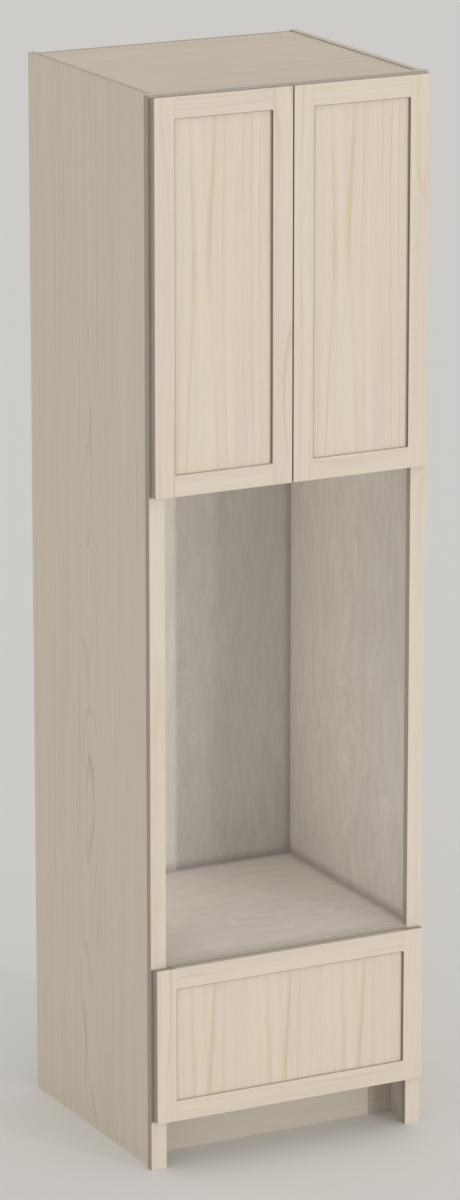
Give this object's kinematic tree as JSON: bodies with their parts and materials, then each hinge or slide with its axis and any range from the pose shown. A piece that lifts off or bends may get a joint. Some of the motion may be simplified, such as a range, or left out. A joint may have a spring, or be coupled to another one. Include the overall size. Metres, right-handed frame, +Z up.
{
  "type": "tall oven housing cabinet",
  "caption": "Tall face-frame cabinet: two-door cupboard with a shelf over an open built-in oven cavity, over one wide deep drawer on slides, above a recessed toe space.",
  "frame": {"origin": "middle of the bottom of the whole cabinet, doors included, on the floor", "axes": "+X to the right seen from the front, +Y from the doors to the wall, +Z up"},
  "size_m": [0.6858, 0.628, 2.4384],
  "materials": {
    "maple": "clear satin lacquer on natural maple",
    "maple_inside": "clear-coated maple plywood",
    "drawer_maple": "clear-coated solid maple",
    "slide_steel": "bright zinc-plated rolled steel",
    "hinge_steel": "nickel-plated steel",
    "bumper_rubber": "clear soft bumper dots"
  },
  "bodies": {
    "root": {"side_panel_left": "maple", "side_panel_right": "maple", "top_panel": "maple", "cupboard_floor": "maple_inside", "oven_shelf": "maple_inside", "bottom_panel": "maple_inside", "back_panel": "maple_inside", "hanging_rail": "maple_inside", "toe_kick_board": "maple", "adjustable_shelf": "maple_inside", "shelf_pin_front_left": "hinge_steel", "shelf_pin_front_right": "hinge_steel", "shelf_pin_back_left": "hinge_steel", "shelf_pin_back_right": "hinge_steel", "frame_stile_left": "maple", "frame_stile_right": "maple", "frame_top_rail": "maple", "frame_cupboard_rail": "maple", "frame_oven_rail": "maple", "frame_bottom_rail": "maple", "left_hinge_lower_arm": "hinge_steel", "left_hinge_upper_arm": "hinge_steel", "right_hinge_lower_arm": "hinge_steel", "right_hinge_upper_arm": "hinge_steel", "slide_cabinet_member_left": "slide_steel", "slide_cabinet_member_right": "slide_steel", "slide_spacer_left": "maple_inside", "slide_spacer_right": "maple_inside"},
    "left_door": {"left_door_hinge_stile": "maple", "left_door_meeting_stile": "maple", "left_door_top_rail": "maple", "left_door_bottom_rail": "maple", "left_door_panel": "maple", "left_hinge_lower_cup": "hinge_steel", "left_hinge_upper_cup": "hinge_steel"},
    "left_hinge_links": {"left_hinge_lower_link": "hinge_steel", "left_hinge_upper_link": "hinge_steel"},
    "right_door": {"right_door_hinge_stile": "maple", "right_door_meeting_stile": "maple", "right_door_top_rail": "maple", "right_door_bottom_rail": "maple", "right_door_panel": "maple", "right_hinge_lower_cup": "hinge_steel", "right_hinge_upper_cup": "hinge_steel"},
    "right_hinge_links": {"right_hinge_lower_link": "hinge_steel", "right_hinge_upper_link": "hinge_steel"},
    "drawer": {"drawer_front_left_stile": "maple", "drawer_front_right_stile": "maple", "drawer_front_top_rail": "maple", "drawer_front_bottom_rail": "maple", "drawer_front_panel": "maple", "drawer_box_front": "drawer_maple", "drawer_box_back": "drawer_maple", "drawer_box_left_side": "drawer_maple", "drawer_box_right_side": "drawer_maple", "drawer_box_bottom": "drawer_maple", "slide_drawer_member_left": "slide_steel", "slide_drawer_member_right": "slide_steel"},
    "slide_middles": {"slide_middle_member_left": "slide_steel", "slide_middle_member_right": "slide_steel"}
  },
  "joints": [
    {"name": "left_door_swing", "type": "hinge", "parent": "root", "child": "left_door", "pos_m": [-0.32955, -0.31011, 1.9947], "axis": [0, 0, -1], "range_deg": [0, 105]},
    {"name": "right_door_swing", "type": "hinge", "parent": "root", "child": "right_door", "pos_m": [0.32955, -0.31011, 1.9947], "axis": [0, 0, 1], "range_deg": [0, 105]},
    {"name": "left_link_turn", "type": "hinge", "parent": "root", "child": "left_hinge_links", "pos_m": [-0.30305, -0.30621, 1.9947], "axis": [0, 0, 1], "range_deg": [0, 34.7]},
    {"name": "right_link_turn", "type": "hinge", "parent": "root", "child": "right_hinge_links", "pos_m": [0.30305, -0.30621, 1.9947], "axis": [0, 0, -1], "range_deg": [0, 34.7]},
    {"name": "drawer_slide", "type": "slide", "parent": "root", "child": "drawer", "axis": [0, -1, 0], "range_m": [0, 0.5]},
    {"name": "middle_slide", "type": "slide", "parent": "root", "child": "slide_middles", "axis": [0, -1, 0], "range_m": [0, 0.25]}
  ],
  "couplings": [
    {"joint": "left_link_turn", "follows": "left_door_swing", "ratio": 0.33},
    {"joint": "right_link_turn", "follows": "right_door_swing", "ratio": 0.33},
    {"joint": "middle_slide", "follows": "drawer_slide", "ratio": 0.5}
  ]
}
